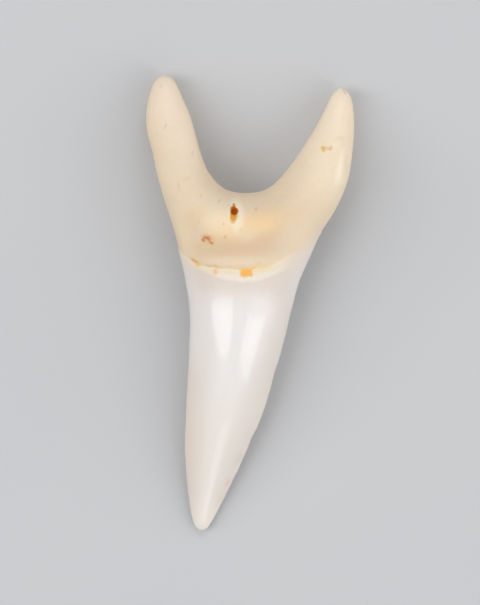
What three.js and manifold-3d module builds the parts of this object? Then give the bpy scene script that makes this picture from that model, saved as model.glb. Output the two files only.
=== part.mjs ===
// A fossil mako shark's tooth: a slender lower front tooth, with a smooth leaning crown and a root of two
// long lobes. It lies on its flatter outer (labial) face, with the bulging inner (lingual) face up. Units
// are millimetres, +Z is up, the crown's tip points along -Y, and the origin is on the resting surface under
// the middle of the tooth.
import * as THREE from "three";
import { mergeVertices } from "three/addons/utils/BufferGeometryUtils.js";
import Module from "manifold-3d";

// The crown in plan, from just behind its tip up to where the root forks: y, then the x of its left edge, of
// its ridge and of its right edge.
const CROWN = [
  [-24.2, -6.26, -5.3, -4.33],
  [-22.6, -6.62, -5.05, -3.45],
  [-20.2, -6.93, -4.6, -2.25],
  [-16.3, -7.18, -3.8, -0.43],
  [-12.4, -7.08, -2.9, 1.26],
  [-8.6, -6.88, -2.2, 2.42],
  [-4.2, -6.65, -1.5, 3.66],
  [-0.9, -6.65, -1.1, 4.44],
  [2.4, -7.08, -0.95, 5.33],
  [5.2, -7.72, -0.95, 6.57],
  [7.2, -8.2, -1.0, 7.46],
  [8.9, -8.7, -1.1, 8.55],
];
// Each root lobe in plan, from the fork to near its end: outer edge, ridge and inner edge, each x and y.
const LEFT_LOBE = [
  [-9.12, 10.2, -3.4, 10.7, -1.7, 12.07],
  [-9.6, 11.7, -5.7, 12.3, -3.1, 12.6],
  [-10.27, 14.1, -7.5, 14.4, -4.65, 14.35],
  [-10.85, 16.8, -8.2, 16.6, -5.42, 16.3],
  [-11.33, 18.5, -8.8, 18.5, -6.04, 18.5],
  [-11.49, 20.4, -9.15, 20.5, -6.65, 20.6],
  [-11.25, 22.5, -9.35, 22.4, -7.48, 22.5],
];
const RIGHT_LOBE = [
  [9.1, 9.8, 3.3, 10.5, 1.1, 12.17],
  [9.85, 11.2, 5.6, 12.0, 2.5, 12.9],
  [10.75, 13.6, 7.6, 14.2, 4.2, 14.8],
  [11.2, 16.4, 8.7, 16.7, 5.75, 17.0],
  [11.42, 19.4, 9.55, 19.5, 7.4, 19.7],
  [11.3, 21.6, 9.95, 21.6, 8.4, 21.7],
];
const NOTCH_BOTTOM = [-0.35, 12.0];
// The rounded ends in plan, each in the order of the outline.
const LEFT_END = [
  [-10.46, 24.46],
  [-9.4, 25.03],
  [-8.46, 24.48],
];
const RIGHT_END = [
  [9.05, 22.97],
  [9.9, 23.64],
  [10.85, 23.0],
];
const CROWN_END = [
  [-4.83, -24.9],
  [-5.4, -25.13],
  [-5.93, -24.85],
];
const END_SPANS = CROWN_END.length + 1;

// The tooth in profile. Each row is y, then the heights of the outer (labial) face, of the side edge and of
// the inner (lingual) face, and then the half width of the crown or lobe there and how keen its side edge
// is: 0 is round, as on the root, and 1 is a cutting edge.
const PROFILE = [
  [-25.2, 0.4, 0.9, 1.5, 0.6, 0.4],
  [-23.2, -0.2, 0.85, 2.4, 1.3, 0.6],
  [-19.0, 0.45, 1.6, 4.4, 2.6, 0.7],
  [-14.5, 1.25, 2.7, 6.5, 3.8, 0.7],
  [-9.0, 2.05, 3.7, 8.2, 4.6, 0.6],
  [-3.0, 2.5, 4.5, 9.35, 5.3, 0.4],
  [1.5, 2.5, 4.9, 9.8, 5.9, 0.2],
  [5.0, 2.4, 5.3, 10.5, 6.2, 0.0],
  [9.0, 2.6, 5.8, 10.5, 4.8, 0.0],
  [13.0, 2.2, 5.4, 9.2, 3.3, 0.0],
  [16.0, 1.3, 4.2, 7.6, 2.7, 0.0],
  [19.0, 0.45, 3.1, 6.1, 2.3, 0.0],
  [21.4, -0.2, 2.3, 5.0, 1.9, 0.0],
  [25.2, 0.3, 1.8, 3.4, 0.8, 0.0],
];
// The right lobe is shorter than the left one, so its profile is drawn in, gradually between these limits of
// x and y.
const SHORTER_LOBE = { by: 1.4, fromX: 0, toX: 6, fromY: 10, toY: 22 };
// The bulge of the root on its inner face.
const BULGE = { x: -0.9, y: 8.9, height: 1.2, width: 6.0, length: 3.9 };

// The nutrient canal that opens in the bulge: a narrow slit that slants into the root. The slant is in
// radians.
const CANAL = { x: -1.8, y: 9.7, width: 0.8, length: 2.2, slant: 0.35 };
// The canal's taper, from its inner end to just above its mouth: the share of its radius, and how deep in mm.
const CANAL_TAPER = [
  [0, -1.6],
  [0.5, -1.1],
  [0.85, -0.5],
  [1, 0],
  [1.15, 0.5],
  [0, 0.5],
];

// Mesh fineness: steps between two stations, steps from edge to ridge, sides of the canal, and the distance
// under which two vertices are one.
const SPAN_STEPS = 3;
const SECTION_STEPS = 12;
const CANAL_SIDES = 20;
const MERGE = 1e-4;

// One column of the profile as a smooth function of y.
function profileLine(column) {
  const ys = PROFILE.map((row) => row[0]);
  const values = PROFILE.map((row) => row[column]);
  const curve = new THREE.CubicInterpolant(ys, values, 1, new Float32Array(1));
  return (y) => curve.evaluate(THREE.MathUtils.clamp(y, ys[0], ys.at(-1)))[0];
}

const outerFace = profileLine(1);
const sideEdge = profileLine(2);
const innerFace = profileLine(3);
const halfWidth = profileLine(4);
const keenness = profileLine(5);

// The points of a smooth curve in plan through the given stations, with equal steps between each two.
function planCurve(stations, closed = false) {
  const points = stations.map(([x, y]) => new THREE.Vector3(x, y, 0));
  const spans = closed ? points.length : points.length - 1;
  const curve = new THREE.CatmullRomCurve3(points, closed, "centripetal");
  return curve.getPoints(spans * SPAN_STEPS);
}

const crownLine = (column) => CROWN.map((row) => [row[column], row[0]]);
const lobeLine = (lobe, column) => lobe.map((row) => row.slice(column, column + 2));
const fork = crownLine(2).at(-1);
const crownRidge = planCurve(crownLine(2));
const leftRidge = planCurve([fork, ...lobeLine(LEFT_LOBE, 2)]);
const rightRidge = planCurve([fork, ...lobeLine(RIGHT_LOBE, 2)]);
// The outline goes from the left of the crown's tip round by the left lobe, the notch and the right lobe.
const outline = planCurve(
  [
    ...crownLine(1),
    ...lobeLine(LEFT_LOBE, 0),
    ...LEFT_END,
    ...lobeLine(LEFT_LOBE, 4).reverse(),
    NOTCH_BOTTOM,
    ...lobeLine(RIGHT_LOBE, 4),
    ...RIGHT_END,
    ...lobeLine(RIGHT_LOBE, 0).reverse(),
    ...crownLine(3).reverse(),
    ...CROWN_END,
  ],
  true,
);

// How deep the plan point p lies inside the outline, from the mean of its distances in all directions: 0 on
// the outline, and the half width on the middle line of a long strip. It is smooth, also where the root
// forks.
function depthInside(p) {
  let sum = 0;
  for (let i = 0; i + 1 < outline.length; i++) {
    const a = new THREE.Vector2().subVectors(outline[i], p);
    const b = new THREE.Vector2().subVectors(outline[i + 1], p);
    const [near, far] = [a.length(), b.length()];
    sum += (a.cross(b) / (near * far + a.dot(b))) * (1 / near + 1 / far);
  }
  return 4 / Math.abs(sum);
}

// The height of a flat-topped swelling over the plan point p.
function swell({ x, y, height, width, length }, p) {
  const away = ((p.x - x) / width) ** 2 + ((p.y - y) / length) ** 2;
  return height * Math.exp(-(away ** 1.5));
}

// The surface over the plan point p at that depth inside the outline: on the inner face or on the outer one.
function surfacePoint(p, depth, inner) {
  const { smoothstep, lerp } = THREE.MathUtils;
  const { by, fromX, toX, fromY, toY } = SHORTER_LOBE;
  const y = p.y + by * smoothstep(p.x, fromX, toX) * smoothstep(p.y, fromY, toY);
  const edge = sideEdge(y);
  const round = Math.sqrt(depth / halfWidth(y));
  const rise = lerp(round, round ** 2, keenness(y));
  const height = inner
    ? edge + (innerFace(y) - edge + swell(BULGE, p)) * rise
    : Math.max(edge + (outerFace(y) - edge) * rise, 0);
  return new THREE.Vector3(p.x, p.y, height);
}

// A triangle that faces up on the inner face and down on the outer one.
function addTriangle(positions, a, b, c, inner) {
  const turn = (b.x - a.x) * (c.y - a.y) - (b.y - a.y) * (c.x - a.x);
  const order = turn > 0 === inner ? [a, b, c] : [a, c, b];
  positions.push(...order.flatMap((p) => [p.x, p.y, p.z]));
}

// One ribbon of the surface, from a run of edge points to the ridge points that they face, on both faces.
function addRibbon(positions, edge, ridge) {
  const plan = edge.map((e, i) =>
    Array.from({ length: SECTION_STEPS + 1 }, (_, j) => {
      const angle = (Math.PI / 2) * (j / SECTION_STEPS);
      const p = e.clone().lerp(ridge[i], 1 - Math.cos(angle));
      return { p, depth: j === 0 ? 0 : depthInside(p) };
    }),
  );
  for (const inner of [true, false]) {
    const rows = plan.map((row) => row.map(({ p, depth }) => surfacePoint(p, depth, inner)));
    for (let i = 0; i + 1 < rows.length; i++)
      for (let j = 0; j < SECTION_STEPS; j++) {
        const [a, b] = [rows[i][j], rows[i][j + 1]];
        const [c, d] = [rows[i + 1][j + 1], rows[i + 1][j]];
        addTriangle(positions, a, b, c, inner);
        addTriangle(positions, a, c, d, inner);
      }
  }
}

// The whole surface, as ribbons between the outline and the Y of the three ridges.
function toothSurface() {
  const allRound = (point) => Array(END_SPANS * SPAN_STEPS + 1).fill(point);
  const runs = [
    crownRidge,
    leftRidge,
    allRound(leftRidge.at(-1)),
    leftRidge.toReversed(),
    rightRidge,
    allRound(rightRidge.at(-1)),
    rightRidge.toReversed(),
    crownRidge.toReversed(),
    allRound(crownRidge[0]),
  ];
  const positions = [];
  let start = 0;
  for (const ridge of runs) {
    addRibbon(positions, outline.slice(start, start + ridge.length), ridge);
    start += ridge.length - 1;
  }
  return new THREE.BufferGeometry().setAttribute(
    "position",
    new THREE.Float32BufferAttribute(positions, 3),
  );
}

// The slanting slit of the nutrient canal, as a pointed solid that is cut out of the bulge.
function canalCutter() {
  const profile = CANAL_TAPER.map(([radius, height]) => new THREE.Vector2(radius, height));
  const mouth = surfacePoint(CANAL, depthInside(CANAL), true);
  const cutter = new THREE.LatheGeometry(profile, CANAL_SIDES);
  cutter.rotateX(Math.PI / 2);
  cutter.scale(CANAL.width / 2, CANAL.length / 2, 1);
  cutter.rotateX(CANAL.slant);
  return cutter.translate(mouth.x, mouth.y, mouth.z);
}

const wasm = await Module();
wasm.setup();

// A geometry as a manifold-3d solid, with its shared vertices merged and its empty triangles left out.
function solid(geometry) {
  geometry.deleteAttribute("normal");
  geometry.deleteAttribute("uv");
  const merged = mergeVertices(geometry, MERGE);
  const corners = [];
  for (let i = 0; i < merged.index.count; i += 3) {
    const [a, b, c] = [0, 1, 2].map((k) => merged.index.getX(i + k));
    if (a !== b && b !== c && c !== a) corners.push(a, b, c);
  }
  return new wasm.Manifold(
    new wasm.Mesh({
      numProp: 3,
      vertProperties: merged.attributes.position.array,
      triVerts: new Uint32Array(corners),
    }),
  );
}

// A solid back as a three.js geometry, with its box centred over the origin.
function centred(made) {
  const mesh = made.getMesh();
  const geometry = new THREE.BufferGeometry()
    .setAttribute("position", new THREE.BufferAttribute(mesh.vertProperties, 3))
    .setIndex(new THREE.BufferAttribute(mesh.triVerts, 1));
  geometry.computeBoundingBox();
  const middle = geometry.boundingBox.getCenter(new THREE.Vector3());
  geometry.translate(-middle.x, -middle.y, 0);
  geometry.computeVertexNormals();
  return geometry;
}

const enamelAndRoot = new THREE.MeshStandardMaterial({
  color: new THREE.Color(0.91, 0.86, 0.79),
  roughness: 0.35,
  metalness: 0,
});
const tooth = new THREE.Mesh(
  centred(solid(toothSurface()).subtract(solid(canalCutter()))),
  enamelAndRoot,
);
tooth.name = "tooth";

const makoTooth = new THREE.Group();
makoTooth.add(tooth);

export default makoTooth;
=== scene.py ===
import math

import bpy
import numpy as np
from mathutils import Matrix, Vector


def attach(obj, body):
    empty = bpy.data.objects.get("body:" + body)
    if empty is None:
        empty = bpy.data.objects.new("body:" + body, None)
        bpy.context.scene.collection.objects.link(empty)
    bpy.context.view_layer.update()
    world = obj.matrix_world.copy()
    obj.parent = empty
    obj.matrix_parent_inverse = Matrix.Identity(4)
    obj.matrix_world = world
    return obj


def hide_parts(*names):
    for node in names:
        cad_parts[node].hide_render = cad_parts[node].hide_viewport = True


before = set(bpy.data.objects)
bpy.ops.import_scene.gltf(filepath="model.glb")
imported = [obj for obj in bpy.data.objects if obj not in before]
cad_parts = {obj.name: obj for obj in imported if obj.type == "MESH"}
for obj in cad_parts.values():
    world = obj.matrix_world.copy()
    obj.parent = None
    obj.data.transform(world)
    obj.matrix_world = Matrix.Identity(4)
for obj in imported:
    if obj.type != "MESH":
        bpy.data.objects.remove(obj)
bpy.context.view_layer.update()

# The tooth lies on its flatter face. Its crown points along -Y and its bulging face looks up.
# Unless a line says otherwise, places and sizes are in millimetres, turns are in degrees, and colours are
# screen values from 0 to 255. "up" is how far the skin looks up: 1 is straight up and -1 straight down.
# A spot is an oval, seen from above: x and y of its middle, its two half sizes, and its turn.
MM = 0.001


# ---- soft edges, for the points of the skin and for its colours alike ----


def held(value, low, high):
    """The value kept between low and high."""
    if isinstance(value, Field):
        return value.paint.value(
            "ShaderNodeClamp", {}, {"Value": value, "Min": low, "Max": high}, "Result"
        )
    return np.clip(value, low, high)


def rise(value, low, high):
    """0 up to low, 1 from high on, and smooth between. With low above high it falls instead."""
    if isinstance(value, Field):
        return value.paint.value(
            "ShaderNodeMapRange",
            {"interpolation_type": "SMOOTHSTEP"},
            {"Value": value, "From Min": low, "From Max": high},
            "Result",
        )
    part = np.clip((value - low) / (high - low), 0.0, 1.0)
    return part * part * (3 - 2 * part)


def within(value, start, full, still, end):
    """0 up to start, 1 from full to still, and 0 again from end on."""
    return rise(value, start, full) * rise(value, end, still)


def near(value, middle, full, end):
    """1 as far as full from the middle, on both sides, and 0 from end on."""
    return 1 - rise(abs(value - middle), full, end)


def powers(x, terms):
    """The sum of terms[n] times x to the n."""
    total = terms[-1]
    for term in reversed(terms[:-1]):
        total = total * x + term
    return total


# ---- the line where the enamel ends ----

# Its y by rising powers of x, on the bulging face and on the flat face.
NECK_UP = (3.74, 0.0085, 0.01285, 0.00408, 0.000624, -0.000035)
NECK_DOWN = (5.1, 0.128, 0.037)
NECK_REACH = 8.2  # beyond this x, on both sides, the line stays level
SHOULDER_LIFT = 0.7  # how much higher the line runs just inside the right shoulder
SHOULDER = (1.2, 4.7, 6.6, 8.0)  # the x between which it does
FACE_TURN = (-0.45, 0.1)  # how far the skin looks up where one face's line passes into the other's


def neck(x, bulging):
    """The y of the enamel's end, where bulging is 1 on the bulging face and 0 on the flat one."""
    x = held(x, -NECK_REACH, NECK_REACH)
    on_bulge = powers(x, NECK_UP) + SHOULDER_LIFT * within(x, *SHOULDER)
    on_flat = powers(x, NECK_DOWN)
    return on_flat + (on_bulge - on_flat) * bulging


def into_enamel(x, y, up):
    """How far a place is past the enamel's end, towards the tip. It is below 0 on the root."""
    return neck(x, rise(up, *FACE_TURN)) - y


# ---- the skin ----

SKIN_GRAIN = 0.165  # spacing of the points of the skin
SAME_POINT = 0.001  # points of the solid that are nearer than this are one
SMOOTHING = 0.5  # how far each pass of smoothing moves a point
PASSES = 5
BROAD_PASSES = 40  # more passes, for the broad faces alone
BROAD_FROM = (0.3, 0.62)  # how far, up or down, a face looks where it counts as broad
REST_FADE = (0.02, 0.45)  # the heights from which on the skin may move a little, and fully
LEAST_WEIGHT = 0.004  # points of less weight are left out of a group

SLIT_X = -1.76  # the middle of the nutrient slit
SLIT_RIM = (SLIT_X, 9.8, 1.1, 1.9, 0)  # the spot that keeps its keen rim
SLIT_HOLLOW = (SLIT_X, 9.7, 0.66, 1.3, 0)
SLIT_RUN_OUT = (10.0, 8.9)  # the y where it starts to get shallow, and where it is shallowest
SLIT_DEEPEST = 1.3
SLIT_FILLED = 0.76  # how much of its depth is gone at its lower end
# The height of the face beside the slit, by rising powers of how far y is past the second value.
FACE_AT_SLIT, FACE_FROM = (11.66, -0.4, -0.2), 9.0

FINE_SKIN = (-1.9, 9.3, 3.4, 3.0, 0)  # the spot with finer skin, round the nutrient slit
FINE_ABOVE = 6.5  # and the height from which on it is fine

ENAMEL_STEP = 0.07
STEP_LOST = 0.7  # how much of the step is worn away on the right
# The fine groove beside the enamel's end: its middle, which is on the root, how far from the middle it is
# at its deepest, and how far from it it ends.
GROOVE, GROOVE_DEPTH = (-0.1, 0.0, 0.28), 0.05
# The ridge on the right lobe: where it starts and ends, how far it reaches to each side, and its height.
RIDGE_TOP, RIDGE_END, RIDGE_REACH, RIDGE_HEIGHT = (9.78, 17.6), (10.12, 13.2), 0.75, 0.19
# Where the root's edge steps in to the enamel on the right, and how deep.
SHOULDER_NOTCH, NOTCH_DEPTH = (8.25, 8.05, 0.62, 0.4, 40), 0.14
# Where the right cutting edge is a little uneven: the spot, and the height out, or in below zero.
EDGE_WAVES = (
    ((2.65, -7.75, 0.9, 1.6, -21), -0.06),
    ((0.1, -14.9, 0.9, 1.6, -21), -0.09),
    ((-1.4, -18.5, 0.7, 1.1, -21), 0.05),
)
# Pits and scars of the root: the spot, and its depth as a share of the deepest.
PIT_DEPTH = 0.16
PITS = (
    ((-3.37, 11.12, 0.17, 0.36, -32), 0.6),
    ((-2.38, 10.66, 0.14, 0.14, 0), 0.5),
    ((0.62, 10.2, 0.14, 0.26, 0), 0.5),
    ((-2.93, 8.57, 0.18, 0.18, 0), 0.8),
    ((-1.04, 7.96, 0.16, 0.2, 0), 0.5),
    ((-4.85, 6.9, 0.55, 0.3, -30), 0.5),
)
FACING = "facing_up"  # the attribute that keeps how far the skin looks up


def alone(piece):
    """Selects this piece and nothing else."""
    bpy.ops.object.select_all(action="DESELECT")
    piece.select_set(True)
    bpy.context.view_layer.objects.active = piece


def worked(piece, kind, **settings):
    """Adds a modifier with these settings and applies it."""
    alone(piece)
    modifier = piece.modifiers.new(kind.lower(), kind)
    for name, value in settings.items():
        setattr(modifier, name, value)
    bpy.ops.object.modifier_apply(modifier=modifier.name)


def skin_points(piece):
    """Place and outward direction of every point of the skin, as columns."""
    count = len(piece.data.vertices)
    places = np.empty(count * 3)
    facing = np.empty(count * 3)
    piece.data.vertices.foreach_get("co", places)
    piece.data.vertices.foreach_get("normal", facing)
    return places.reshape(-1, 3).T / MM, facing.reshape(-1, 3).T


def fill_group(piece, name, weights):
    """Makes a group of the points that have a weight. Near the small rests the weights fade out."""
    (_, _, z), _ = skin_points(piece)
    weights = weights * rise(z, *REST_FADE)
    group = piece.vertex_groups.new(name=name)
    for index in np.flatnonzero(weights > LEAST_WEIGHT):
        group.add([int(index)], float(weights[index]), "REPLACE")


def push(piece, name, height, weights, direction="NORMAL"):
    """Moves the skin out by height, in by a height below zero, as far as each point's weight says."""
    fill_group(piece, name, weights)
    worked(
        piece, "DISPLACE", vertex_group=name, direction=direction, strength=height * MM, mid_level=0.0
    )
    piece.vertex_groups.clear()


def near_line(x, y, start, end, reach):
    """1 on a straight line from start to end, falling smoothly to 0 at reach from it."""
    start, end = np.array(start), np.array(end)
    along = end - start
    part = held(((x - start[0]) * along[0] + (y - start[1]) * along[1]) / along.dot(along), 0, 1)
    away = np.hypot(x - start[0] - part * along[0], y - start[1] - part * along[1])
    return 1 - rise(away, 0.0, reach)


def from_spot(x, y, spot):
    """How far a place is from a spot's middle, where 1 is the spot's rim."""
    middle_x, middle_y, half_x, half_y, turn = spot
    cos, sin = math.cos(math.radians(turn)), math.sin(math.radians(turn))
    across = ((x - middle_x) * cos + (y - middle_y) * sin) / half_x
    along = ((y - middle_y) * cos - (x - middle_x) * sin) / half_y
    return np.hypot(across, along)


def near_spot(x, y, spot):
    """1 at the middle of a spot, falling smoothly to 0 at its rim."""
    return 1 - rise(from_spot(x, y, spot), 0.0, 1.0)


def make_skin(name):
    """A closed, even skin over a copy of the solid, smoother on the broad faces than at edges and slit."""
    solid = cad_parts["tooth"]
    piece = bpy.data.objects.new(name, solid.data.copy())
    bpy.context.scene.collection.objects.link(piece)
    piece.data.materials.clear()
    alone(piece)
    bpy.ops.object.mode_set(mode="EDIT")
    bpy.ops.mesh.select_all(action="SELECT")
    bpy.ops.mesh.remove_doubles(threshold=SAME_POINT * MM)
    bpy.ops.object.mode_set(mode="OBJECT")
    worked(piece, "REMESH", mode="VOXEL", voxel_size=SKIN_GRAIN * MM, adaptivity=0.0)
    worked(piece, "SMOOTH", factor=SMOOTHING, iterations=PASSES)

    (x, y, _), (_, _, up) = skin_points(piece)
    clear_of_slit = rise(from_spot(x, y, SLIT_RIM), 0.75, 1.3)
    fill_group(piece, "broad faces", rise(abs(up), *BROAD_FROM) * clear_of_slit)
    worked(piece, "SMOOTH", vertex_group="broad faces", factor=SMOOTHING, iterations=BROAD_PASSES)
    piece.vertex_groups.clear()
    return piece


def finer_round_slit(piece):
    """Splits the faces round the slit once, so that the pits and the slit's rim have points enough."""
    alone(piece)
    bpy.ops.object.mode_set(mode="EDIT")
    bpy.ops.mesh.select_all(action="DESELECT")
    bpy.ops.object.mode_set(mode="OBJECT")
    for face in piece.data.polygons:
        x, y, z = face.center / MM
        face.select = bool(from_spot(x, y, FINE_SKIN) < 1 and z > FINE_ABOVE)
    bpy.ops.object.mode_set(mode="EDIT")
    bpy.ops.mesh.select_mode(type="FACE")
    bpy.ops.mesh.subdivide(number_cuts=1, smoothness=0.6)
    bpy.ops.object.mode_set(mode="OBJECT")


def raise_enamel(piece):
    """Raises the enamel above the root, and sinks the fine groove along its end on the left."""
    (x, y, _), (_, _, up) = skin_points(piece)
    worn = rise(x, 2.5, 5.5) * rise(up, 0.1, 0.5)
    enamel = rise(into_enamel(x, y, up), -0.12, 0.16)
    push(piece, "enamel", ENAMEL_STEP, enamel * (1 - STEP_LOST * worn))

    (x, y, _), (_, _, up) = skin_points(piece)
    on_left = within(x, -7.0, -5.6, 0.2, 2.0) * rise(up, 0.3, 0.7)
    push(piece, "neck groove", -GROOVE_DEPTH, near(into_enamel(x, y, up), *GROOVE) * on_left)


def shape_edges(piece):
    """Raises the right lobe's ridge, sinks the notch at the right shoulder and waves the cutting edge."""
    (x, y, _), (_, _, up) = skin_points(piece)
    ridge = near_line(x, y, RIDGE_TOP, RIDGE_END, RIDGE_REACH) * rise(up, 0.15, 0.5)
    push(piece, "lobe ridge", RIDGE_HEIGHT, ridge)
    notch = near_spot(x, y, SHOULDER_NOTCH) * rise(up, -0.5, 0.0)
    push(piece, "shoulder notch", -NOTCH_DEPTH, notch)

    (x, y, _), _ = skin_points(piece)
    for spot, height in EDGE_WAVES:
        push(piece, "cutting edge", height, near_spot(x, y, spot))


def run_out_slit(piece):
    """Lifts the slit's floor towards its lower end, where it runs out to the face."""
    (x, y, z), _ = skin_points(piece)
    depth = held(powers(y - FACE_FROM, FACE_AT_SLIT) - z, 0.0, SLIT_DEEPEST)
    lift = depth * SLIT_FILLED * rise(y, *SLIT_RUN_OUT)
    in_slit = 1 - rise(from_spot(x, y, SLIT_HOLLOW), 0.85, 1.0)
    push(piece, "slit end", 1.0, lift * in_slit, "Z")


def sink_pits(piece):
    """Sinks the pits and scars of the root's bulging face."""
    (x, y, _), (_, _, up) = skin_points(piece)
    hollows = sum(near_spot(x, y, spot) * share for spot, share in PITS)
    push(piece, "pits", -PIT_DEPTH, hollows * rise(up, 0.4, 0.7))


def keep_facing(piece):
    """Keeps on every point how far the skin looks up there, for the finish to read."""
    _, (_, _, up) = skin_points(piece)
    kept = piece.data.attributes.new(FACING, "FLOAT", "POINT")
    kept.data.foreach_set("value", up)


# ---- what the finishes are made with ----


class Field:
    """A number that varies over the surface. Sums and products of it become Math nodes."""

    def __init__(self, paint, socket):
        self.paint = paint
        self.socket = socket

    def maths(self, operation, first, second):
        return self.paint.value("ShaderNodeMath", {"operation": operation}, {0: first, 1: second}, "Value")

    def __add__(self, other):
        return self.maths("ADD", self, other)

    def __radd__(self, other):
        return self.maths("ADD", other, self)

    def __sub__(self, other):
        return self.maths("SUBTRACT", self, other)

    def __rsub__(self, other):
        return self.maths("SUBTRACT", other, self)

    def __mul__(self, other):
        return self.maths("MULTIPLY", self, other)

    def __rmul__(self, other):
        return self.maths("MULTIPLY", other, self)

    def __truediv__(self, other):
        return self.maths("DIVIDE", self, other)

    def __rtruediv__(self, other):
        return self.maths("DIVIDE", other, self)

    def __abs__(self):
        return self.maths("ABSOLUTE", self, 0.0)


class Paint:
    """One finish, and the nodes that it is made of."""

    def __init__(self, name):
        self.material = bpy.data.materials.new(name)
        self.material.use_nodes = True
        self.tree = self.material.node_tree
        self.tree.nodes.clear()

    def node(self, kind, settings, sockets):
        """A node of this kind: its settings first, then the values or links of its sockets."""
        made = self.tree.nodes.new(kind)
        for name, value in settings.items():
            setattr(made, name, value)
        for key, value in sockets.items():
            if isinstance(value, Field):
                self.tree.links.new(value.socket, made.inputs[key])
            elif isinstance(value, bpy.types.NodeSocket):
                self.tree.links.new(value, made.inputs[key])
            else:
                made.inputs[key].default_value = value
        return made

    def value(self, kind, settings, sockets, output):
        return Field(self, self.node(kind, settings, sockets).outputs[output])

    def vector(self, operation, first, second):
        return self.node("ShaderNodeVectorMath", {"operation": operation}, {0: first, 1: second}).outputs[0]

    def blend(self, share, first, second):
        """first where share is 0 and second where it is 1, for colours."""
        made = self.node("ShaderNodeMix", {"data_type": "RGBA"}, {0: share, 6: first, 7: second})
        return made.outputs[2]

    def layers(self, ground, *coats):
        """The ground's colour with coats laid over it in turn, each a share and a colour."""
        for share, colour in coats:
            ground = self.blend(share, ground, colour)
        return ground

    def place(self):
        """The place on the piece, in millimetres."""
        source = self.node("ShaderNodeTexCoord", {}, {})
        return self.vector("MULTIPLY", source.outputs["Object"], (1 / MM, 1 / MM, 1 / MM))

    def parts(self, place):
        """x, y and z of a place."""
        split = self.node("ShaderNodeSeparateXYZ", {}, {"Vector": place})
        return [Field(self, split.outputs[axis]) for axis in "XYZ"]

    def from_above(self, place):
        """The place without its height."""
        return self.vector("MULTIPLY", place, (1.0, 1.0, 0.0))

    def ragged(self, place, reach):
        """The place, wandering to the sides by up to half of reach, for marks with an uneven rim."""
        wander = self.node("ShaderNodeTexNoise", {}, {"Vector": place, "Scale": 2.6, "Detail": 3.0})
        centred = self.vector("SUBTRACT", wander.outputs["Color"], (0.5, 0.5, 0.5))
        return self.vector("ADD", place, self.vector("MULTIPLY", centred, (reach, reach, 0.0)))

    def noise(self, place, scale, detail, stretch=(1.0, 1.0, 1.0)):
        """Smooth noise about 0.5, with scale blobs to a millimetre."""
        stretched = self.vector("MULTIPLY", place, stretch)
        return self.value(
            "ShaderNodeTexNoise", {}, {"Vector": stretched, "Scale": scale, "Detail": detail}, "Fac"
        )

    def spot(self, place, spot, soft):
        """1 in a spot, falling to 0 across its rim, from soft inside it to soft outside it."""
        middle_x, middle_y, half_x, half_y, turn = spot
        turned = self.node(
            "ShaderNodeMapping",
            {"vector_type": "TEXTURE"},
            {
                "Vector": place,
                "Location": (middle_x, middle_y, 0.0),
                "Rotation": (0.0, 0.0, math.radians(turn)),
                "Scale": (half_x, half_y, 1.0),
            },
        ).outputs[0]
        away = self.value("ShaderNodeVectorMath", {"operation": "LENGTH"}, {0: turned}, "Value")
        return 1 - rise(away, 1 - soft, 1.0 + soft)

    def finished(self, sockets):
        """The material, from the values and links of its shader's sockets."""
        shader = self.node("ShaderNodeBsdfPrincipled", {"subsurface_method": "RANDOM_WALK"}, sockets)
        self.node("ShaderNodeOutputMaterial", {}, {"Surface": shader.outputs["BSDF"]})
        return self.material


def shade(red, green, blue):
    """A screen colour as the light that it stands for."""

    def light(level):
        level = level / 255
        return level / 12.92 if level <= 0.04045 else ((level + 0.055) / 1.055) ** 2.4

    return (light(red), light(green), light(blue), 1.0)


# ---- the colours and marks of the tooth ----

ROOT = shade(239, 219, 191)
ROOT_PALE = shade(246, 229, 204)
ROOT_LOW = shade(228, 202, 170)
ROOT_DEEP = shade(233, 208, 176)
ENAMEL = shade(238, 233, 229)
ENAMEL_SIDE = shade(234, 223, 214)
ENAMEL_NECK = shade(229, 217, 208)
ENAMEL_UNDER_BAND = shade(226, 211, 196)
ENAMEL_BAND = shade(242, 231, 216)
ENAMEL_COOL = shade(239, 233, 230)
ENAMEL_WARM = shade(232, 214, 196)
ENAMEL_LOW = shade(238, 229, 217)
ENAMEL_TIP = shade(247, 239, 226)
NECK_YELLOW = shade(240, 221, 184)
NECK_BROWN = shade(213, 178, 138)
BLOCK_ORANGE = shade(250, 184, 84)
HOLE_DARK = shade(188, 99, 0)
HOLE_MIDDLE = shade(255, 190, 80)
HOLE_LIGHT = shade(240, 188, 110)
HOLE_EDGE = shade(196, 146, 72)
HOLE_GOLD = shade(200, 124, 14)

# The lower line of the thin pale enamel that borders the neck, as its y by rising powers of x.
PALE_BAND = (2.30, 0.105, 0.066)
RIM_WANDER = 0.42  # how far the rims of the marks wander
# The orange block at the neck, in x and in y: its middle, and how far from it the orange is full and ends.
BLOCK_X, BLOCK_Y = (-0.44, 0.44, 0.88), (3.27, 0.26, 0.62)
SLIT_COLOURS_ABOVE = (6.0, 7.0)  # the heights that keep the slit's colours off the flat face

# The slit's colours, in the order in which they are laid on: spot, softness and colour. They are its
# orange-brown stain, laid darker at the deep upper end as painted shade and paler down the shallow lower
# end as painted light.
SLIT_COLOURS = (
    ((SLIT_X - 0.08, 9.55, 0.38, 0.95, -5), 0.2, HOLE_LIGHT),
    ((SLIT_X - 0.04, 9.75, 0.3, 0.68, -6), 0.4, HOLE_MIDDLE),
    ((SLIT_X - 0.02, 10.5, 0.16, 0.36, 4), 0.4, HOLE_EDGE),
    ((SLIT_X + 0.03, 10.0, 0.44, 0.42, 0), 0.22, HOLE_DARK),
    ((SLIT_X - 0.16, 10.36, 0.28, 0.18, 20), 0.6, HOLE_GOLD),
)
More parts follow.
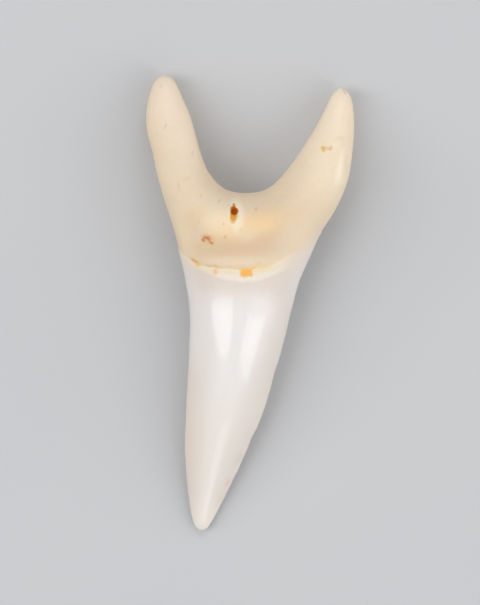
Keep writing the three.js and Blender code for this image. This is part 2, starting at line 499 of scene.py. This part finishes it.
# Broad tones of the crown: spot, softness, strength and colour.
CROWN_TONES = (
    ((-6.2, -3.0, 2.4, 3.6, 0), 0.7, 0.7, ENAMEL_COOL),
    ((-7.5, 0.9, 1.5, 3.2, 0), 0.7, 0.6, ENAMEL_COOL),
    ((5.9, 3.0, 1.3, 3.0, -20), 0.7, 0.6, ENAMEL_COOL),
    ((-7.4, -15.0, 1.6, 7.5, 0), 0.8, 0.6, ENAMEL_WARM),
)
# Marks of the bulging face: spot, softness, strength and colour. Some are painted shade and painted light,
# as noted.
MARKS_AND_PAINTED_LIGHT = (
    # broad tones of the root, and the painted shade and painted light noted below
    ((4.7, 10.0, 4.0, 2.1, 14), 0.9, 0.45, (216, 192, 158)),
    ((1.9, 9.1, 1.6, 1.1, 10), 0.95, 0.4, (235, 201, 148)),
    # painted light: the root's left edge, which turns away from the light, painted paler
    ((-7.3, 7.3, 0.8, 2.8, 12), 0.95, 0.6, (249, 226, 190)),
    ((-6.0, 9.5, 1.1, 1.0, 0), 0.9, 0.5, (232, 205, 156)),
    ((-3.2, 7.4, 1.5, 0.9, 0), 0.9, 0.5, (238, 200, 142)),
    ((-3.1, 8.75, 1.9, 1.4, 0), 0.5, 0.6, (247, 225, 191)),
    ((0.4, 8.6, 2.3, 1.1, 0), 0.8, 0.6, (243, 211, 158)),
    ((-1.5, 9.7, 0.75, 1.9, 4), 0.4, 0.7, (249, 233, 208)),
    # painted shade: the darker crescent under the bulge's lower slope, just above the neck
    ((-0.2, 6.0, 3.6, 0.75, 3), 0.85, 0.45, (221, 189, 151)),
    ((1.7, 7.1, 1.7, 0.65, 22), 0.9, 0.45, (222, 190, 152)),
    ((-0.9, 4.4, 4.2, 0.5, 0), 0.9, 0.6, (244, 222, 194)),
    ((-7.2, 13.2, 2.6, 4.0, 15), 0.9, 0.5, (228, 205, 175)),
    ((-3.4, 5.9, 2.6, 0.7, -4), 0.8, 0.5, (226, 196, 157)),
    # painted highlight: a pale streak along the right lobe's ridge
    ((9.9, 15.2, 0.3, 1.9, -13), 0.8, 0.7, (253, 240, 214)),
    ((-8.0, 18.6, 1.9, 6.0, 12), 0.9, 0.3, (240, 224, 210)),
    ((-9.0, 23.0, 2.0, 2.6, 10), 0.9, 0.5, (244, 228, 210)),
    ((9.4, 21.8, 1.5, 3.4, -8), 0.9, 0.5, (249, 233, 212)),
    ((5.6, 6.6, 1.7, 3.0, -38), 0.9, 0.55, (246, 226, 198)),
    # painted light: the right lobe's upper left and the left lobe's right edge, painted paler against their
    # shade
    ((8.2, 17.2, 1.3, 3.6, -21), 0.9, 0.4, (252, 234, 205)),
    ((-6.6, 18.0, 1.0, 3.2, 12), 0.9, 0.4, (251, 236, 210)),
    # the reddish scar
    ((-4.66, 6.96, 0.7, 0.46, -25), 0.5, 0.7, (230, 174, 126)),
    ((-5.1, 6.9, 0.24, 0.2, 30), 0.7, 0.65, (188, 116, 68)),
    ((-4.76, 7.1, 0.26, 0.14, 10), 0.7, 0.65, (190, 120, 72)),
    ((-4.5, 6.88, 0.34, 0.12, -55), 0.7, 0.65, (190, 118, 72)),
    ((-4.24, 6.56, 0.17, 0.11, -40), 0.6, 0.75, (192, 122, 78)),
    ((-5.04, 6.7, 0.14, 0.1, 0), 0.6, 0.6, (190, 118, 74)),
    # stains at the neck
    ((-6.02, 4.56, 0.52, 0.14, -30), 0.6, 0.75, (226, 170, 104)),
    ((-5.68, 4.2, 0.28, 0.24, 0), 0.6, 0.75, (240, 196, 126)),
    ((-4.0, 4.0, 0.8, 0.11, -9), 0.8, 0.5, (230, 186, 114)),
    ((-3.78, 3.36, 0.25, 0.34, 0), 0.6, 0.75, (238, 196, 126)),
    ((1.3, 3.85, 1.0, 0.34, 6), 0.8, 0.6, (243, 214, 168)),
    ((0.4, 3.8, 0.36, 0.13, 20), 0.6, 0.75, (238, 190, 114)),
    ((0.9, 4.3, 0.35, 0.25, 20), 0.6, 0.4, (226, 205, 160)),
    ((-5.86, 5.8, 0.14, 0.7, 0), 0.7, 0.3, (238, 206, 150)),
    # specks
    ((-3.36, 11.12, 0.09, 0.3, -28), 0.6, 0.3, (168, 142, 108)),
    ((-2.37, 10.66, 0.1, 0.1, 0), 0.6, 0.3, (176, 158, 132)),
    ((0.63, 10.2, 0.11, 0.24, 0), 0.6, 0.36, (196, 158, 100)),
    ((0.32, 9.7, 0.12, 0.14, 0), 0.7, 0.21, (214, 182, 132)),
    ((-2.95, 8.6, 0.09, 0.14, 0), 0.6, 0.34, (172, 156, 120)),
    ((-3.37, 8.82, 0.08, 0.14, 0), 0.6, 0.24, (190, 166, 130)),
    ((-5.62, 8.78, 0.12, 0.14, 0), 0.7, 0.24, (196, 172, 140)),
    ((-1.04, 7.96, 0.18, 0.22, 0), 0.7, 0.3, (224, 196, 128)),
    ((-2.73, 7.16, 0.16, 0.18, 0), 0.6, 0.42, (214, 164, 96)),
    ((-5.35, 11.65, 0.1, 0.22, -25), 0.7, 0.24, (196, 170, 138)),
    ((2.78, 8.82, 0.14, 0.14, 0), 0.7, 0.18, (226, 196, 140)),
    # the right lobe
    ((8.02, 16.84, 0.2, 0.28, 4), 0.7, 0.85, (238, 184, 82)),
    ((8.06, 16.96, 0.3, 0.1, 4), 0.7, 0.4, (230, 172, 96)),
    ((8.5, 16.85, 0.42, 0.17, 0), 0.7, 0.65, (238, 192, 128)),
    ((8.84, 16.97, 0.24, 0.2, 0), 0.6, 0.5, (240, 186, 136)),
    ((8.72, 16.82, 0.09, 0.07, 30), 0.6, 0.55, (204, 144, 100)),
    ((8.9, 17.14, 0.07, 0.1, 0), 0.6, 0.55, (200, 140, 100)),
    ((10.42, 23.15, 0.12, 0.3, 30), 0.6, 0.5, (228, 180, 136)),
    # the left lobe
    ((-9.26, 19.35, 0.12, 0.3, -20), 0.8, 0.35, (194, 172, 144)),
    ((-9.81, 23.8, 0.26, 0.12, 0), 0.8, 0.25, (200, 182, 154)),
    ((-6.32, 16.35, 0.12, 0.3, 0), 0.7, 0.3, (206, 184, 150)),
    ((-7.86, 12.85, 0.16, 0.5, 0), 0.7, 0.3, (214, 184, 146)),
    ((-6.91, 13.55, 0.5, 0.14, 15), 0.7, 0.25, (210, 180, 144)),
    # the crown's end
    ((-2.51, -19.85, 0.2, 0.42, -30), 0.7, 0.5, (240, 196, 170)),
    ((-3.33, -21.6, 0.22, 0.7, -30), 0.7, 0.4, (228, 216, 176)),
    ((-1.34, -17.25, 0.25, 0.8, -28), 0.7, 0.35, (218, 208, 180)),
)


def root_colour(paint, place, mottle):
    """The root's cream, deeper in clouds and towards the neck, and paler on the right lobe."""
    x, y, _ = paint.parts(place)
    clouds = rise(paint.noise(place, 0.32, 3.0), 0.3, 0.7)
    right_lobe = rise(x + (y - 14.0) * 0.5, 2.0, 10.0)
    blotches = rise(mottle, 0.5, 0.75)
    flecks = rise(paint.noise(place, 3.2, 3.0), 0.52, 0.7)
    towards_neck = rise(y, 10.5, 6.0)
    return paint.layers(
        ROOT,
        (clouds * 0.45, ROOT_DEEP),
        (right_lobe * 0.6, ROOT_PALE),
        (blotches * 0.3, ROOT_DEEP),
        (flecks * 0.22, ROOT_PALE),
        (towards_neck * 0.6, ROOT_LOW),
    )


def crown_colour(paint, place, up, wobble, streak, on_top):
    """The enamel's white, warmer at its sides and ends, with the pale band along the neck."""
    x, y, _ = paint.parts(place)
    sides = rise(up, 0.97, 0.55)
    streaks = rise(streak, 0.45, 0.75)
    towards_neck = rise(y, -1.5, 2.0)
    under_band = rise(y + wobble * 0.5, 0.1, 2.3) * within(x, -7.2, -5.2, 2.0, 4.6) * on_top
    lower_part = rise(y, -7.0, -13.0)
    tip = rise(y, -20.5, -24.5)
    band = rise(y - powers(x, PALE_BAND) + wobble * 0.5, -0.2, 0.22) * rise(x, 5.2, 3.0) * on_top
    colour = paint.layers(
        ENAMEL,
        (sides, ENAMEL_SIDE),
        (streaks * 0.2, ENAMEL_SIDE),
        (towards_neck * 0.7, ENAMEL_NECK),
        (under_band * 0.55, ENAMEL_UNDER_BAND),
        (lower_part * 0.5, ENAMEL_LOW),
        (tip * 0.7, ENAMEL_TIP),
        (band * 0.9, ENAMEL_BAND),
    )
    seen = paint.from_above(place)
    for spot, soft, strength, tint in CROWN_TONES:
        colour = paint.blend(paint.spot(seen, spot, soft) * strength, colour, tint)
    return colour


def neck_stained(paint, colour, place, into, mottle, on_top):
    """Lays on the yellow inside the enamel's end, and the fine brown line along it."""
    x, _, _ = paint.parts(place)
    yellow = within(into, -0.05, 0.1, 0.25, 1.0) * within(x, -7.4, -6.4, 1.5, 4.5) * on_top
    brown = near(into, 0.02, 0.02, 0.16) * within(x, -7.2, -5.6, -0.6, 1.4) * on_top
    return paint.layers(
        colour,
        (yellow * rise(mottle, 0.1, 0.6) * 0.8, NECK_YELLOW),
        (brown * rise(mottle, 0.3, 0.55) * 0.5, NECK_BROWN),
    )


def marked_and_painted_light(paint, colour, place, on_top):
    """Lays on the marks of the bulging face, some of them painted shade and painted light, and the orange
    block.
    """
    seen = paint.from_above(paint.ragged(place, RIM_WANDER))
    for spot, soft, strength, tint in MARKS_AND_PAINTED_LIGHT:
        colour = paint.blend(paint.spot(seen, spot, soft) * on_top * strength, colour, shade(*tint))
    seen_x, seen_y, _ = paint.parts(seen)
    block = near(seen_x, *BLOCK_X) * near(seen_y, *BLOCK_Y)
    return paint.blend(block * on_top * 0.95, colour, BLOCK_ORANGE)


def slit_coloured(paint, colour, place):
    """Lays on the slit's orange-brown stain, with painted shade at its deep upper end and painted light
    down its shallow lower end.
    """
    _, _, z = paint.parts(place)
    seen = paint.from_above(place)
    in_bulge = rise(z, *SLIT_COLOURS_ABOVE)
    for spot, soft, tint in SLIT_COLOURS:
        colour = paint.blend(paint.spot(seen, spot, soft) * in_bulge, colour, tint)
    return colour


def tooth_finish():
    paint = Paint("fossil tooth")
    place = paint.place()
    x, y, _ = paint.parts(place)
    up = paint.value("ShaderNodeAttribute", {"attribute_name": FACING}, {}, "Fac")
    on_top = rise(up, 0.15, 0.45)
    wobble = paint.noise(place, 0.9, 2.0) - 0.5
    mottle = paint.noise(place, 1.5, 4.0)
    streak = paint.noise(place, 1.1, 3.0, (1.0, 0.07, 1.0))
    grain = paint.noise(place, 4.0, 4.0)

    # The enamel's end is sharp on the left and fades out on the right.
    into = into_enamel(x, y, up) + wobble * 0.16
    fade = 0.09 + 0.8 * rise(x, 2.4, 6.4)
    enamel = rise(into / fade, -1.0, 1.0)

    root = root_colour(paint, place, mottle)
    crown = crown_colour(paint, place, up, wobble, streak, on_top)
    colour = paint.blend(enamel, root, crown)
    colour = neck_stained(paint, colour, place, into, mottle, on_top)
    colour = marked_and_painted_light(paint, colour, place, on_top)
    colour = slit_coloured(paint, colour, place)

    # The root is dull and finely pitted. The enamel is smooth, with a gloss that starts below the neck.
    dull = 0.56 + 0.14 * (grain - 0.5)
    smooth = 0.4 + 0.08 * (streak - 0.5)
    pores = rise(paint.noise(place, 2.2, 2.0), 0.36, 0.24)
    height = (1 - enamel * 0.95) * (grain * 0.3 + mottle * 0.7 - pores * 0.5)
    bump = paint.node(
        "ShaderNodeBump", {}, {"Strength": 0.5, "Distance": 0.07 * MM, "Height": height}
    )
    return paint.finished(
        {
            "Base Color": colour,
            "Roughness": dull + (smooth - dull) * enamel,
            "IOR": 1.5,
            "Specular IOR Level": 0.3,
            "Coat Weight": enamel * rise(y + x * 0.12, 1.0, -0.9) * 0.9,
            "Coat Roughness": 0.08,
            "Subsurface Weight": 0.22,
            "Subsurface Radius": (1.0, 0.62, 0.42),
            "Subsurface Scale": 1.1 * MM,
            "Normal": bump.outputs["Normal"],
        }
    )


# ---- the tooth ----

tooth = make_skin("mako_tooth")
finer_round_slit(tooth)
raise_enamel(tooth)
shape_edges(tooth)
run_out_slit(tooth)
sink_pits(tooth)
keep_facing(tooth)
tooth.data.materials.append(tooth_finish())
alone(tooth)
bpy.ops.object.shade_smooth()
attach(tooth, "root")
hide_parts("tooth")


# ---- the studio ----

FLOOR_SIZE = 3.0  # metres
FLOOR_TONES = shade(196, 197, 199), shade(202, 202, 203)
LIGHT_AWAY = 1.2  # metres from the tooth to each soft light
AIR_COLOUR = (0.95, 0.97, 1.0, 1.0)
AIR_STRENGTH = 0.42
# The camera looks straight down, as the photograph looks at the bulging face. The picture is 480 by 605.
FRAME_LONG = 66.55  # what the picture's long side takes in, at the height of the tooth's outline
OUTLINE_HEIGHT = 3.0
PICTURE_MIDDLE = (-1.12, 0.02)
LENS, SENSOR = 500.0, 36.0


def floor_finish():
    paint = Paint("pale floor")
    tone = paint.noise(paint.place(), 0.03, 2.0)
    return paint.finished({"Base Color": paint.blend(tone, *FLOOR_TONES), "Roughness": 0.8})


def softbox(name, across, along, width, length, power, spin=0.0):
    """A soft light, turned from straight above by across to the right and by along towards the root.

    Its width runs from left to right and its length along the tooth, both in metres, and then it is
    spun in its own plane. Its power is in watts.
    """
    light = bpy.data.lights.new(name, "AREA")
    light.shape = "RECTANGLE"
    light.size = width
    light.size_y = length
    light.energy = power
    lamp = bpy.data.objects.new(name, light)
    bpy.context.scene.collection.objects.link(lamp)
    towards = Vector((math.tan(math.radians(across)), math.tan(math.radians(along)), 1.0)).normalized()
    lamp.location = towards * LIGHT_AWAY
    right = Vector((0.0, 1.0, 0.0)).cross(towards).normalized()
    turn = Matrix((right, towards.cross(right), towards)).transposed()
    lamp.rotation_euler = (turn @ Matrix.Rotation(math.radians(spin), 3, "Z")).to_euler()


bpy.ops.object.select_all(action="DESELECT")
bpy.ops.mesh.primitive_plane_add(size=FLOOR_SIZE, location=(0.0, 0.0, 0.0))
floor = bpy.context.active_object
floor.name = "floor"
floor.data.materials.append(floor_finish())

softbox("softbox left", -42.0, -2.5, 1.25, 0.60, 6.4, spin=-14.0)
softbox("softbox right", 44.5, -31.7, 0.96, 0.30, 2.0, spin=-8.0)
softbox("softbox over the root", 5.0, 38.0, 0.90, 0.60, 3.0)
softbox("fill from the right", 68.0, 5.0, 1.40, 1.40, 5.2)
softbox("softbox past the tip", 25.0, -54.0, 0.70, 0.35, 0.8)

scene = bpy.context.scene
world = bpy.data.worlds.new("studio air")
world.use_nodes = True
air = world.node_tree.nodes["Background"]
air.inputs["Color"].default_value = AIR_COLOUR
air.inputs["Strength"].default_value = AIR_STRENGTH
scene.world = world
scene.view_settings.view_transform = "Standard"

camera_data = bpy.data.cameras.new("camera")
camera_data.lens = LENS
camera_data.sensor_width = SENSOR
camera = bpy.data.objects.new("camera", camera_data)
scene.collection.objects.link(camera)
camera_height = OUTLINE_HEIGHT + FRAME_LONG * LENS / SENSOR
camera.location = [place * MM for place in (*PICTURE_MIDDLE, camera_height)]
scene.camera = camera
